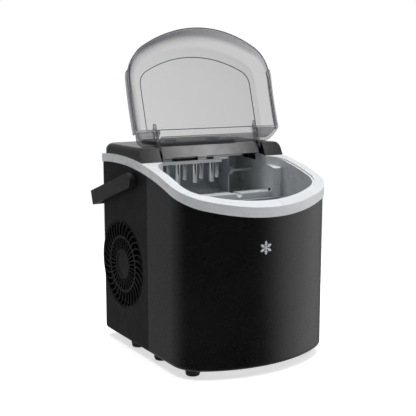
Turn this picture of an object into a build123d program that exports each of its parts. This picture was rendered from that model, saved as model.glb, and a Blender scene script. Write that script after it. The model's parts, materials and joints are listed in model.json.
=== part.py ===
"""Countertop bullet ice maker, millimetres, +Z up, front towards -Y, right side towards +X.

The origin is on the surface that the feet stand on, at the middle of the whole object seen from above.
The lid is drawn open and the carrying handle folded back: that is the rest pose.
"""
from build123d import *
from math import atan2, cos, degrees, hypot, pi, radians, sin, sqrt
import os

# ---------------------------------------------------------------- driving dimensions
HALF_WIDTH = 111.5          # body, without handle
FRONT_Y = -139.4            # foremost line of the bulged front
REAR_Y = 118.4              # flat back
FOOT_HEIGHT = 10.0          # the body's underside is this far above the worktop
BULGE_RADIUS = 183.3        # plan radius of the front
FRONT_CORNER_RADIUS = 45.0
REAR_CORNER_RADIUS = 8.0
BOTTOM_EDGE_RADIUS = 6.0
SEAM_Y = -17.1              # vertical joint between the front panel and the rear housing
SHELL = 2.4                 # wall of the outer mouldings
LIP = 9.0                   # ledge round the underside that the base plate fits into
PLATE = 2.5                 # base plate

RIM_Y, RIM_Z, RIM_RADIUS = 68.0, -183.9, 436.5   # the body's top edge is an arc about this line along X
RING_HEIGHT = 11.0          # band of the white ring, measured along that arc's radius
RING_OVERHANG = 1.5
RING_WIDTH = 15.5           # from its outer edge to the opening
RING_REAR_HALF = 82.0       # half width of the opening where it runs back under the cover

COVER_FRONT_Y = -4.0        # foot of the two hinge blocks
COVER_TOP_Z = 276.0
COVER_EDGE_RADIUS = 9.0
COVER_REAR_RADIUS = 22.0
BLOCK_LEAN = 27.6           # degrees that the hinge blocks' faces lean back
BAND_HALF = 76.0            # half width of the recessed band between the hinge slots
PANEL_HALF = 62.0           # raised control panel
PANEL_FRONT_Y, PANEL_REAR_Y = 34.0, 100.0
PANEL_RISE = 3.4
CEILING_Z = COVER_TOP_Z - SHELL
BUTTON_X, BUTTON_Y, BUTTON_HOLE = 34.0, 60.0, 9.0
LAMP_Y = 82.0
LAMPS_X = [-36.0, -12.0, 12.0, 36.0]

HINGE_Y, HINGE_Z = 11.5, 271.5
LID_OPEN_ANGLE = 120.0
LID_GAP = 0.4               # between the closed lid's rim and the ring
LID_WALL = 2.4
LID_REAR_Y = -6.6           # rear corners of the closed lid's rim
LID_FRONT_INSET = -0.4      # the lid's outline against the body's
RIM_CORNER_Z = 258.4        # height of those corners
PIN_RADIUS = 1.6
WINDOW_SLOPE = 13.9         # degrees that the lid's flat top falls towards the front
WINDOW_REAR_Z = 274.6       # height of that top above the rear corners
WINDOW_INSET = 24.5         # raised flat window against the outline
WINDOW_REAR_Y, WINDOW_RAISE = -18.4, 0.8
BAND_FOOT_Y, BAND_FOOT_Z = 3.6, 262.0    # lower edge of the recessed band
EAR_INNER, EAR_OUTER = 77.0, 81.2
POCKET_Z = 296.0            # height of the corner pockets' upper walls with the lid open

HANDLE_Y, HANDLE_Z = 22.0, 233.5
HANDLE_DROP = 18.0          # degrees below level when folded back
HANDLE_GAP = 3.5            # between the housing's side and an arm
ARM_THICK, ARM_WIDE = 6.0, 20.0
GRIP_THICK = 15.0
GRIP_EDGE, GRIP_CORNER = 6.0, 9.0
PIVOT_RADIUS = 4.0

GRILLE_Y, GRILLE_Z, GRILLE_RADIUS = 56.5, 115.2, 61.0
SPOKES = 34

AXIS_Y, AXIS_Z = 30.0, 237.0      # line about which the water tray tilts
TRAY_RADIUS, TRAY_WALL = 33.0, 1.8
TRAY_LEFT, TRAY_RIGHT = -81.4, 44.0
TRAY_REST_TILT = 90.0             # the tray lies behind the fingers at rest
FINGER_PITCH = 26.6
FINGER_ROW_OFFSET = 14.0
FINGER_RADIUS = 4.4
FINGER_BOTTOM_Z = 224.0
HEADER_TOP_Z, HEADER_THICK, HEADER_HALF = 256.0, 3.2, 24.0
FIRST_FINGER_X = -74.6
SHAFT_RADIUS = 2.5

LINER_WALL = 2.0
LINER_FLOOR_Z = 34.0
LINER_INSET = 12.0                # outside of the liner against the body's outline
LEDGE_Y, LEDGE_Z = -21.0, 210.5   # lip that the ice is pushed over
CHAMBER_LEFT, CHAMBER_RIGHT, CHAMBER_REAR = -86.0, 84.0, 71.0
CHAMBER_FLOOR_RADIUS = 39.5
NOTCH_X = 27.5                    # drain notch in the ledge
SENSOR_Y, SENSOR_Z = -14.0, 211.5
DRAIN_X, DRAIN_Y = -71.0, -34.0   # drain hole in the basin's floor; the pump's hole is at the same Y
PUMP_X = 60.0

BASKET_TOP_Z, BASKET_BOTTOM_Z = 203.0, 78.0
BASKET_INSET = 18.0
BASKET_REAR_Y = -29.5
BASKET_WALL = 1.8

COMPRESSOR_X, COMPRESSOR_Y, COMPRESSOR_RADIUS = 26.0, 62.0, 48.0
FAN_RADIUS = 52.0
FAN_FRONT_X, FAN_DEPTH = -105.5, 25.0
SUCTION_TOP = (80.0, 92.0, 150.0)
PUMP_BODY_X, PUMP_Y = 88.0, 22.0
HOSE_X, HOSE_Y, HOSE_RADIUS = 97.0, 56.0, 3.2    # the fill hose where it runs upright

FOOT_PLACES = [(-88.0, -90.0), (88.0, -90.0), (-95.0, 44.0), (95.0, 44.0), (-82.0, 94.0), (82.0, 94.0)]
FOOT_RADIUS = 10.2
DRAIN_CAP_X, DRAIN_CAP_Y, DRAIN_RADIUS = -95.0, -22.0, 6.0
BASE_SCREWS = [(-60.0, -108.0), (60.0, -108.0), (-95.0, 66.0), (95.0, 66.0), (-50.0, 104.0), (50.0, 104.0)]
HOUSING_SCREWS = [(-100.0, 30.0), (100.0, 30.0), (-100.0, 236.0), (100.0, 236.0), (0.0, 236.0)]
GLAND_X, GLAND_Z, GLAND_RADIUS = 66.0, 34.0, 8.0
RUNNING = 0.05                    # radial clearance of a shaft in its bearing

BULGE_Y = FRONT_Y + BULGE_RADIUS
CORNER_X = HALF_WIDTH - FRONT_CORNER_RADIUS
CORNER_Y = BULGE_Y - sqrt((BULGE_RADIUS - FRONT_CORNER_RADIUS) ** 2 - CORNER_X ** 2)
CORNER_TURN = atan2(CORNER_Y - BULGE_Y, CORNER_X)
TALL = 400.0


# ---------------------------------------------------------------- shared shapes
def outline(inset=0.0, rear=None, rear_radius=None):
    """The body seen from above: bulged front, large front corners, straight sides, flat back."""
    if rear is None:
        rear = REAR_Y - inset
    if rear_radius is None:
        rear_radius = max(REAR_CORNER_RADIUS - inset, 1.0)
    r = FRONT_CORNER_RADIUS - inset
    big = BULGE_RADIUS - inset
    side = HALF_WIDTH - inset
    back = rear_radius
    join = (CORNER_X + r * cos(CORNER_TURN), CORNER_Y + r * sin(CORNER_TURN))
    middle = (CORNER_X + r * cos(CORNER_TURN / 2), CORNER_Y + r * sin(CORNER_TURN / 2))
    diagonal = back * (1 - sqrt(0.5))
    half = [
        ThreePointArc(join, middle, (side, CORNER_Y)),
        Line((side, CORNER_Y), (side, rear - back)),
        ThreePointArc((side, rear - back), (side - diagonal, rear - diagonal), (side - back, rear)),
        Line((side - back, rear), (0, rear)),
    ]
    front = ThreePointArc((-join[0], join[1]), (0, BULGE_Y - big), join)
    edges = Curve() + half + mirror(Curve() + half, Plane.YZ) + front
    return make_face(edges.edges())


def column(face, bottom, top):
    """A plan face raised between two heights."""
    return Pos(0, 0, bottom) * extrude(face, top - bottom)


def box(x, y, z):
    """A box from three (low, high) pairs."""
    size = (x[1] - x[0], y[1] - y[0], z[1] - z[0])
    centre = ((x[0] + x[1]) / 2, (y[0] + y[1]) / 2, (z[0] + z[1]) / 2)
    return Pos(*centre) * Box(*size)


def rod_x(radius, x, y, z):
    """A cylinder along X between x[0] and x[1]."""
    return Pos((x[0] + x[1]) / 2, y, z) * Rot(0, 90, 0) * Cylinder(radius, x[1] - x[0])


def rod_y(radius, x, y, z):
    return Pos(x, (y[0] + y[1]) / 2, z) * Rot(90, 0, 0) * Cylinder(radius, y[1] - y[0])


def rod_z(radius, x, y, z):
    return Pos(x, y, (z[0] + z[1]) / 2) * Cylinder(radius, z[1] - z[0])


def under_rim(rise):
    """Everything below the arc that the body's top edge follows, raised by rise."""
    return rod_x(RIM_RADIUS + rise, (-TALL, TALL), RIM_Y, RIM_Z)


def side_profile(points, x):
    """A closed outline of (y, z) points, extruded along X between x[0] and x[1]."""
    face = make_face(Polyline(*[(0, y, z) for y, z in points], close=True))
    return Pos(x[0], 0, 0) * extrude(face, x[1] - x[0], dir=(1, 0, 0))


def pipe(points, radius, bend):
    """A round pipe along straight runs joined by tangent bends."""
    path = FilletPolyline(*points, radius=bend)
    start = Plane(origin=path @ 0, z_dir=path % 0)
    return sweep(start * Circle(radius), path)


def about_hinge(solid, angle):
    """Turn about the lid's hinge line: positive closes an open lid."""
    return solid.rotate(Axis((0, HINGE_Y, HINGE_Z), (1, 0, 0)), angle)


# ---------------------------------------------------------------- outer shells
def body_solid(inset, edge):
    solid = column(outline(inset), FOOT_HEIGHT + inset, TALL)
    low = solid.edges().group_by(Axis.Z)[0]
    return fillet(low, edge) & under_rim(0)


def body_shell():
    """The whole outer wall, with a lip round the underside that the base plate fits into."""
    shell = body_solid(0, BOTTOM_EDGE_RADIUS) - body_solid(SHELL, BOTTOM_EDGE_RADIUS - SHELL)
    return shell - column(outline(LIP), 0, FOOT_HEIGHT + SHELL)


def front_panel():
    return body_shell() & box((-TALL, TALL), (-TALL, SEAM_Y), (0, TALL))


def louvre_cutters():
    """Air inlet slots of the right side: three columns of sloping slots."""
    slots = []
    for row in range(11):
        for col in range(3):
            y = 16.0 + 31.0 * col
            z = 78.0 + 8.0 * row
            slots.append(box((HALF_WIDTH - 5, HALF_WIDTH + 5), (y, y + 26), (z, z + 3.6)))
    return slots


def rear_slot_cutters():
    slots = []
    for row in range(6):
        for col in range(4):
            x = -72.0 + 37.0 * col
            z = 168.0 + 8.0 * row
            slots.append(box((x, x + 32), (REAR_Y - 5, REAR_Y + 5), (z, z + 3.6)))
    return slots


def rear_housing():
    shell = body_shell() & box((-TALL, TALL), (SEAM_Y, TALL), (0, TALL))
    seat = rod_x(GRILLE_RADIUS, (-HALF_WIDTH - 5, -HALF_WIDTH + 5), GRILLE_Y, GRILLE_Z)
    pivots = rod_x(PIVOT_RADIUS, (-TALL, TALL), HANDLE_Y, HANDLE_Z)
    gland = rod_y(GLAND_RADIUS, GLAND_X, (REAR_Y - 5, REAR_Y + 5), GLAND_Z)
    screws = [rod_y(1.6, x, (REAR_Y - 5, REAR_Y + 5), z) for x, z in HOUSING_SCREWS]
    return shell - seat - pivots - gland - louvre_cutters() - rear_slot_cutters() - screws


def ring_opening(inset, bottom, top):
    """The mouth: wide at the front, narrower where it runs back under the cover."""
    front = column(outline(inset, rear=COVER_FRONT_Y, rear_radius=26), bottom, top)
    rear = box((-RING_REAR_HALF, RING_REAR_HALF), (-40, REAR_Y - RING_WIDTH), (bottom, top))
    return front + rear


def top_ring():
    band = column(outline(-RING_OVERHANG), FOOT_HEIGHT, TALL) & under_rim(RING_HEIGHT)
    band = band - under_rim(0)
    inset = RING_WIDTH - RING_OVERHANG
    band = band - ring_opening(inset, 0, TALL)
    slope = column(outline(inset - 3.2, rear=COVER_FRONT_Y - 3, rear_radius=26), 0, TALL) & under_rim(TALL)
    top = slope - under_rim(RING_HEIGHT - 1.6)
    hose_way = box((RING_REAR_HALF - 2, HOSE_X + 6), (HINGE_Y + 9, HOSE_Y + 6), (0, TALL))
    return band - top - hose_way


def cover_block():
    """The rear cover as a full block, its long top edges rounded, before it is hollowed."""
    plan = outline(-0.2, rear=REAR_Y + 0.2, rear_radius=COVER_REAR_RADIUS)
    plan = plan & (Pos(0, COVER_FRONT_Y + 200) * Rectangle(TALL, 400))
    block = column(plan, FOOT_HEIGHT, COVER_TOP_Z)
    top = block.faces().sort_by(Axis.Z)[-1]
    sides = [e for e in top.edges() if e.center().Y > COVER_FRONT_Y + 1]
    return fillet(sides, COVER_EDGE_RADIUS)


def leaning_cut(y_foot, z_foot, x):
    """Takes away what is in front of a face leaning back at the hinge blocks' angle."""
    slope = sin(radians(BLOCK_LEAN)) / cos(radians(BLOCK_LEAN))
    top = COVER_TOP_Z + 30
    back = y_foot + slope * (top - z_foot)
    low = y_foot - slope * (z_foot - 200)
    return side_profile([(-TALL, 200), (low, 200), (back, top), (-TALL, top)], x)


def cover_cavity():
    plan = outline(SHELL, rear=REAR_Y - SHELL, rear_radius=COVER_REAR_RADIUS - SHELL)
    plan = plan & (Pos(0, HINGE_Y + 9 + 200) * Rectangle(TALL, 400))
    block = column(plan, FOOT_HEIGHT, COVER_TOP_Z - SHELL)
    top = block.faces().sort_by(Axis.Z)[-1]
    sides = [e for e in top.edges() if e.center().Y > HINGE_Y + 12]
    return fillet(sides, COVER_EDGE_RADIUS - SHELL)


def panel_bump(inset, low, high):
    plan = Pos(0, (PANEL_FRONT_Y + PANEL_REAR_Y) / 2) * RectangleRounded(
        2 * (PANEL_HALF - inset), PANEL_REAR_Y - PANEL_FRONT_Y - 2 * inset, 12 - inset)
    return column(plan, low, high)


def top_cover():
    cover = cover_block() - under_rim(RING_HEIGHT)
    cover = cover - leaning_cut(COVER_FRONT_Y, 257.8, (-TALL, TALL))
    recess = leaning_cut(BAND_FOOT_Y, BAND_FOOT_Z, (-BAND_HALF, BAND_HALF))
    cover = cover - recess
    low = box((-RING_REAR_HALF, RING_REAR_HALF), (-40, HINGE_Y + 9), (200, BAND_FOOT_Z))
    cover = cover - low - cover_cavity()
    for side in (-1, 1):
        x = sorted((side * BAND_HALF, side * RING_REAR_HALF))
        cover = cover - box(x, (-60, HINGE_Y + 7.5), (200, TALL))
        cover = cover - rod_x(PIN_RADIUS, sorted((side * 80, side * 92)), HINGE_Y, HINGE_Z)
    bump = panel_bump(0, COVER_TOP_Z - 0.5, COVER_TOP_Z + PANEL_RISE)
    top = bump.faces().sort_by(Axis.Z)[-1]
    cover = cover + fillet(top.edges(), 2.2)
    cover = cover - panel_bump(5, COVER_TOP_Z + PANEL_RISE - 0.8, TALL)
    holes = [rod_z(BUTTON_HOLE, x, BUTTON_Y, (250, TALL)) for x in (-BUTTON_X, BUTTON_X)]
    holes += [rod_z(1.5, x, LAMP_Y, (250, TALL)) for x in LAMPS_X]
    return cover - holes


def control_panel():
    """Thin glossy label plate sunk into the raised panel."""
    low = COVER_TOP_Z + PANEL_RISE - 0.8
    plate = panel_bump(5.15, low, low + 0.7)
    holes = [rod_z(BUTTON_HOLE, x, BUTTON_Y, (250, TALL)) for x in (-BUTTON_X, BUTTON_X)]
    holes += [rod_z(1.5, x, LAMP_Y, (250, TALL)) for x in LAMPS_X]
    return plate - holes


def push_button(x):
    low = COVER_TOP_Z - SHELL - 1.1
    body = rod_z(BUTTON_HOLE - 0.4, x, BUTTON_Y, (low, COVER_TOP_Z + PANEL_RISE + 1.2))
    rim = body.faces().sort_by(Axis.Z)[-1].edges()
    body = fillet(rim, 0.8)
    flange = rod_z(BUTTON_HOLE + 1.2, x, BUTTON_Y, (low, low + 1.0))
    return body + flange


def indicator_lenses():
    top = COVER_TOP_Z + PANEL_RISE
    low = COVER_TOP_Z - SHELL - 2.2
    return Compound([rod_z(1.45, x, LAMP_Y, (low, top - 0.1)) for x in LAMPS_X])


# ---------------------------------------------------------------- lid
def lid_form(inset, edge):
    """The closed lid's outer form: the body's outline under a flat sloping top with a broad rounded edge."""
    block = column(outline(LID_FRONT_INSET + inset, rear=80, rear_radius=30), 150, 330)
    slope = radians(WINDOW_SLOPE)
    fall = 200 * sin(slope) / cos(slope)
    high = WINDOW_REAR_Z - inset
    top = [(LID_REAR_Y - 200, high - fall), (LID_REAR_Y + 200, high + fall), (200, 100), (-300, 100),
           (-300, high - fall - 40)]
    block = block & side_profile(top, (-TALL, TALL))
    face = block.faces().filter_by(GeomType.PLANE).sort_by(Axis.Z)[-1]
    return fillet(face.edges(), edge)


def lid_rear_limit(gap):
    """Space in front of the hinge blocks, and between them in front of the recessed band."""
    side = leaning_cut(LID_REAR_Y - gap, RIM_CORNER_Z, (-TALL, TALL))
    middle = leaning_cut(BAND_FOOT_Y - 1.6 - gap, BAND_FOOT_Z, (-EAR_INNER, EAR_INNER))
    return side + middle


def lid_ears():
    """Two plates that reach back into the slots beside the blocks, with the pin holes."""
    plates = []
    for side in (-1, 1):
        x = sorted((side * EAR_INNER, side * EAR_OUTER))
        neck = [(LID_REAR_Y - 16, 262.5), (HINGE_Y, HINGE_Z - 5.5), (HINGE_Y, HINGE_Z + 5.5),
                (HINGE_Y - 8, HINGE_Z + 1.5), (LID_REAR_Y - 8, HINGE_Z - 1.5)]
        plate = side_profile(neck, x) + rod_x(5.5, x, HINGE_Y, HINGE_Z)
        plates.append(plate - rod_x(PIN_RADIUS + RUNNING, (-TALL, TALL), HINGE_Y, HINGE_Z))
    return plates


def lid_side_flanges():
    """Grip flange along the rear half of each side, just above the rim."""
    band = column(outline(LID_FRONT_INSET - 1.8), 150, 330) - column(outline(LID_FRONT_INSET + 0.5), 0, TALL)
    band = band & under_rim(RING_HEIGHT + LID_GAP + 7.0)
    band = band - under_rim(RING_HEIGHT + LID_GAP)
    return band & box((-TALL, TALL), (LID_REAR_Y - 82, LID_REAR_Y - 2), (0, TALL))


def lid_corner_pockets(form):
    """Walls that box in each rear corner of the lid, level with the window's rear edge when open."""
    opened = about_hinge(form & lid_rear_limit(0), -LID_OPEN_ANGLE)
    walls = []
    for side in (-1, 1):
        shelf = box(sorted((side * EAR_INNER, side * HALF_WIDTH)), (-60, 90), (POCKET_Z, POCKET_Z + 1.6))
        cheek = box(sorted((side * EAR_INNER, side * (EAR_INNER + 1.6))), (-60, 90), (COVER_TOP_Z + 1, POCKET_Z + 1))
        walls.append(about_hinge((shelf + cheek) & opened, LID_OPEN_ANGLE))
    return walls


def lid():
    """The closed lid, then swung open about its hinge."""
    form = lid_form(0, 17.0)
    hollow = lid_form(LID_WALL, 14.6) & lid_rear_limit(LID_WALL)
    shell = (form & lid_rear_limit(0)) - hollow
    shell = shell + lid_side_flanges() + lid_corner_pockets(form)
    step = lid_form(-WINDOW_RAISE, 17.0) & window_prism()
    shell = shell + (step - lid_form(LID_WALL, 14.6))
    shell = shell - under_rim(RING_HEIGHT + LID_GAP)
    shell = about_hinge(shell, -LID_OPEN_ANGLE)
    shell = shell - box((-EAR_INNER, EAR_INNER), (-50, 80), (200, COVER_TOP_Z + 0.8))
    return shell + about_hinge(Compound(lid_ears()), -LID_OPEN_ANGLE)


def window_prism():
    """Plan of the raised flat window: a smaller copy of the outline with its own rear edge."""
    plan = outline(WINDOW_INSET, rear=WINDOW_REAR_Y, rear_radius=3)
    return column(plan, 150, 330)


def hinge_pins():
    """A pin in each block, reaching through the lid's ear."""
    pins = [rod_x(PIN_RADIUS, sorted((side * 76.6, side * 92)), HINGE_Y, HINGE_Z) for side in (-1, 1)]
    return Compound(pins)


# ---------------------------------------------------------------- carrying handle
def handle_reach():
    """Distance from the pivot to the grip's middle that centres the object about the origin."""
    drop, round_edge = radians(HANDLE_DROP), GRIP_EDGE
    rear = RING_OVERHANG - FRONT_Y
    corner = (ARM_WIDE / 2 - round_edge) * sin(drop) + round_edge
    return (rear - HANDLE_Y - corner) / cos(drop) - GRIP_THICK / 2 + round_edge


def handle():
    """A bail: two flat arms and a grip, drawn level towards the back, then dropped to its rest angle."""
    reach = handle_reach()
    inner, outer = HALF_WIDTH + HANDLE_GAP, HALF_WIDTH + HANDLE_GAP + ARM_THICK
    half, end = ARM_WIDE / 2, reach + GRIP_THICK / 2
    side = Pos(end / 2 + 20, 0) * RectangleRounded(end - 40, ARM_WIDE, GRIP_EDGE) + Circle(half)
    side = side + Pos(30, 0) * Rectangle(60, ARM_WIDE)
    bail = Pos(-outer, 0, 0) * extrude(Plane.YZ * side, 2 * outer, dir=(1, 0, 0))
    plan = Pos(0, end / 2 - half) * RectangleRounded(2 * outer, end + 2 * half, GRIP_CORNER)
    plan = plan + Pos(0, -20) * Rectangle(2 * outer, 80)
    bail = (bail & column(plan, -TALL, TALL)) - column(handle_gap(inner, reach), -TALL, TALL)
    for sign in (-1, 1):
        x = sorted((sign * (inner - 1), sign * (inner + 4)))
        bail = bail - rod_x(PIVOT_RADIUS + RUNNING, x, 0, 0)
    bail = bail.rotate(Axis.X, -HANDLE_DROP)
    return Pos(0, HANDLE_Y, HANDLE_Z) * bail


def handle_gap(inner, reach):
    """The space between the arms, seen from above."""
    depth = reach - GRIP_THICK / 2 + 100
    return Pos(0, depth / 2 - 100) * RectangleRounded(2 * inner, depth, 6)


def handle_pivots():
    """Stepped pivots: a boss between housing and arm, a pin in the arm, a flange inside the wall."""
    solids = []
    for side in (-1, 1):
        wall = HALF_WIDTH - SHELL
        flange = rod_x(8.0, sorted((side * (wall - 2), side * wall)), HANDLE_Y, HANDLE_Z)
        pin = rod_x(PIVOT_RADIUS, sorted((side * (wall - 1), side * (HALF_WIDTH + HANDLE_GAP + 3.8))),
                    HANDLE_Y, HANDLE_Z)
        boss = rod_x(7.5, sorted((side * HALF_WIDTH, side * (HALF_WIDTH + HANDLE_GAP - 0.3))),
                     HANDLE_Y, HANDLE_Z)
        solids.append(flange + pin + boss)
    return Compound(solids)


# ---------------------------------------------------------------- air grille and fan
def swirl_cell(inner, outer, bend, half_angle, turn, rib):
    """One slot of the grille between two S-curved ribs, drawn in the disc's own plane."""
    middle = (inner + outer) / 2

    def at(radius, angle):
        return (radius * cos(angle), radius * sin(angle))

    sides = []
    for side in (-1, 1):
        offsets = [side * (half_angle - rib / radius) for radius in (inner, middle, outer)]
        angles = [turn + offsets[0], turn + bend[0] + offsets[1], turn + bend[1] + offsets[2]]
        sides.append([at(r, a) for r, a in zip((inner, middle, outer), angles)])
    low, high = sides
    return make_face([ThreePointArc(*low), Line(low[2], high[2]), ThreePointArc(*high), Line(high[0], low[0])])


def air_grille():
    """A disc set into the left side, with two rings of swirling slots round a plain hub."""
    disc = Circle(GRILLE_RADIUS - 0.2)
    pitch = 2 * pi / SPOKES
    cells = []
    for n in range(SPOKES):
        cells.append(swirl_cell(39.0, 57.9, (radians(1.5), radians(9.0)), pitch / 2, n * pitch, 0.9))
        cells.append(swirl_cell(19.8, 35.6, (radians(-3.0), radians(-2.0)), pitch / 2, n * pitch, 0.75))
    disc = disc - cells
    plate = extrude(disc, 2.6)
    groove = extrude(Circle(GRILLE_RADIUS - 0.8) - Circle(GRILLE_RADIUS - 2.4), 1.0)
    dish = Pos(0, 0, -0.7) * extrude(Circle(17.0), 1.4)
    plate = plate - groove - dish
    face = Plane(origin=(-HALF_WIDTH, GRILLE_Y, GRILLE_Z), x_dir=(0, -1, 0), z_dir=(1, 0, 0))
    return face * plate


def fan_shroud():
    """Square frame with a round duct, between the grille and the condenser."""
    x = (FAN_FRONT_X, FAN_FRONT_X + FAN_DEPTH)
    half = FAN_RADIUS + 4
    frame = box(x, (GRILLE_Y - half, GRILLE_Y + half), (GRILLE_Z - half, GRILLE_Z + half))
    frame = frame - rod_x(FAN_RADIUS, (-TALL, TALL), GRILLE_Y, GRILLE_Z)
    back = (x[1] - 3, x[1])
    struts = [rod_x(20, back, GRILLE_Y, GRILLE_Z)]
    for n in range(4):
        strut = box(back, (GRILLE_Y, GRILLE_Y + FAN_RADIUS + 1), (GRILLE_Z - 3, GRILLE_Z + 3))
        struts.append(strut.rotate(Axis((0, GRILLE_Y, GRILLE_Z), (1, 0, 0)), 90 * n + 45))
    return frame + struts


def fan_motor():
    x = FAN_FRONT_X + FAN_DEPTH - 3
    can = rod_x(18, (x - 9, x), GRILLE_Y, GRILLE_Z)
    return can + rod_x(2.0, (FAN_FRONT_X + 3, x - 8), GRILLE_Y, GRILLE_Z)


def fan_rotor():
    """Seven swept blades round a hub, in front of the motor."""
    front, back = FAN_FRONT_X + 2, FAN_FRONT_X + FAN_DEPTH - 13
    hub = rod_x(17, (front, back), GRILLE_Y, GRILLE_Z)
    rotor = hub
    for n in range(7):
        blade = Pos((front + back) / 2, GRILLE_Y + 33, GRILLE_Z) * Rot(0, -38, 0) * Box(2.0, 36, 15)
        rotor = rotor + blade.rotate(Axis((0, GRILLE_Y, GRILLE_Z), (1, 0, 0)), 360 / 7 * n)
    rotor = rotor & rod_x(FAN_RADIUS - 1.5, (front - 1, back + 1), GRILLE_Y, GRILLE_Z)
    return rotor - rod_x(2.0 + RUNNING, (-TALL, TALL), GRILLE_Y, GRILLE_Z)


# ---------------------------------------------------------------- liner, basket, ice making
def chamber_cavity():
    """Space over the ledge and over a floor rounded about the tray's axis."""
    x = (CHAMBER_LEFT + LINER_WALL, CHAMBER_RIGHT - LINER_WALL)
    drop = AXIS_Z - LEDGE_Z
    lip = AXIS_Y - sqrt(CHAMBER_FLOOR_RADIUS ** 2 - drop ** 2)
    rear = CHAMBER_REAR - LINER_WALL
    over = box(x, (LEDGE_Y - 10, rear), (AXIS_Z, TALL))
    front = box(x, (LEDGE_Y - 10, AXIS_Y), (LEDGE_Z, TALL))
    return over + front + rod_x(CHAMBER_FLOOR_RADIUS, x, AXIS_Y, AXIS_Z)


def inner_liner():
    """One moulding: a deep front basin for water and basket, and a shallow chamber behind its ledge."""
    wall_y = LEDGE_Y + LINER_WALL
    basin = column(outline(LINER_INSET, rear=wall_y, rear_radius=8), LINER_FLOOR_Z, TALL)
    chamber = box((CHAMBER_LEFT, CHAMBER_RIGHT), (LEDGE_Y, CHAMBER_REAR), (AXIS_Z - 42, TALL))
    water = column(outline(LINER_INSET + LINER_WALL, rear=LEDGE_Y, rear_radius=6),
                   LINER_FLOOR_Z + LINER_WALL, TALL)
    notch = rod_y(5.0, NOTCH_X, (LEDGE_Y - 5, AXIS_Y - 20), LEDGE_Z)
    liner = (basin + chamber) & under_rim(-0.2)
    liner = liner - water - chamber_cavity() - notch
    liner = liner - rod_x(3.0, (CHAMBER_RIGHT - 5, CHAMBER_RIGHT + 5), AXIS_Y, AXIS_Z)
    liner = liner - rod_x(2.5, (CHAMBER_RIGHT - 5, CHAMBER_RIGHT + 5), SENSOR_Y, SENSOR_Z)
    liner = liner - rod_z(4.0, PUMP_X, DRAIN_Y, (0, LINER_FLOOR_Z + 10))
    return liner + basket_rests() + corner_post() + shoulders() - rod_z(4.0, DRAIN_X, DRAIN_Y, (0, LINER_FLOOR_Z + 10))


def shoulders():
    """Solid corners that close the space under the ring beside the chamber."""
    bottom = AXIS_Z - 9
    left = box((-HALF_WIDTH, CHAMBER_LEFT + 1), (LEDGE_Y, COVER_FRONT_Y + 6), (bottom, TALL))
    right = box((CHAMBER_RIGHT - 1, HALF_WIDTH), (LEDGE_Y, COVER_FRONT_Y + 6), (bottom, TALL))
    limit = column(outline(LINER_INSET), 0, TALL) & under_rim(-0.2)
    return [left & limit, right & limit]


def corner_post():
    """Rounded post where the chamber's right wall meets the basin's rear wall."""
    post = box((CHAMBER_RIGHT - 3, CHAMBER_RIGHT + 10), (LEDGE_Y - 5, LEDGE_Y + 1), (LEDGE_Z - 8, TALL))
    edges = post.edges().filter_by(Axis.Z).sort_by(Axis.Y)[:2]
    return fillet(edges, 3.5) & under_rim(-0.2)


def basket_rests():
    """Shelves on the basin's side walls that the basket stands on."""
    wall = HALF_WIDTH - LINER_INSET - LINER_WALL
    rests = []
    for side in (-1, 1):
        x = sorted((side * (wall + 0.5), side * (wall - 12)))
        rests += [box(x, (y, y + 14), (BASKET_BOTTOM_Z - 8, BASKET_BOTTOM_Z)) for y in (-74, -42)]
    return rests


def insulation():
    """Foam round the basin's walls and under it."""
    outer = column(outline(LINER_INSET - 6.5, rear=LEDGE_Y + LINER_WALL + 7, rear_radius=10),
                   LINER_FLOOR_Z - 8, 176)
    inner = column(outline(LINER_INSET - 0.3, rear=LEDGE_Y + LINER_WALL + 0.3, rear_radius=8.3),
                   LINER_FLOOR_Z - 0.3, 200)
    holes = [rod_z(9.0, x, DRAIN_Y, (0, 60)) for x in (PUMP_X, DRAIN_X)]
    return outer - inner - holes


def basket_slots():
    """Drain slots through the floor and the lower walls."""
    slots = []
    for n in range(11):
        x = -75.0 + 15.0 * n
        for y in (-90.0, -50.0):
            slots.append(box((x - 2.5, x + 2.5), (y - 14, y + 14), (0, BASKET_BOTTOM_Z + 8)))
    for n in range(9):
        x = -72.0 + 18.0 * n
        slots.append(box((x - 2.5, x + 2.5), (-TALL, TALL), (BASKET_BOTTOM_Z + 14, BASKET_BOTTOM_Z + 54)))
    return slots


def ice_basket():
    """Lift-out ice basket with a rolled rim, a drain floor and two grip tabs."""
    outer = column(outline(BASKET_INSET, rear=BASKET_REAR_Y, rear_radius=14), BASKET_BOTTOM_Z, TALL)
    inner = column(outline(BASKET_INSET + BASKET_WALL, rear=BASKET_REAR_Y - BASKET_WALL, rear_radius=12),
                   BASKET_BOTTOM_Z + BASKET_WALL, TALL)
    rim = column(outline(BASKET_INSET - 2.5, rear=BASKET_REAR_Y + 2.5, rear_radius=16), 0, TALL)
    limit = under_rim(-12.0) & box((-TALL, TALL), (-TALL, TALL), (0, BASKET_TOP_Z))
    band = (rim & limit) - under_rim(-15.0) - inner
    walls = (outer - inner) & limit
    top = rim & box((-TALL, TALL), (-TALL, TALL), (BASKET_TOP_Z - 2.0, BASKET_TOP_Z)) & limit
    basket = walls + band + (top - inner)
    return basket - basket_slots()


def finger_places():
    """Nine fingers: four in the front row, five in the back row."""
    places = [(FIRST_FINGER_X + FINGER_PITCH * n, AXIS_Y - FINGER_ROW_OFFSET) for n in range(4)]
    return places + [(FIRST_FINGER_X + FINGER_PITCH * n, AXIS_Y + FINGER_ROW_OFFSET) for n in range(5)]


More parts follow.
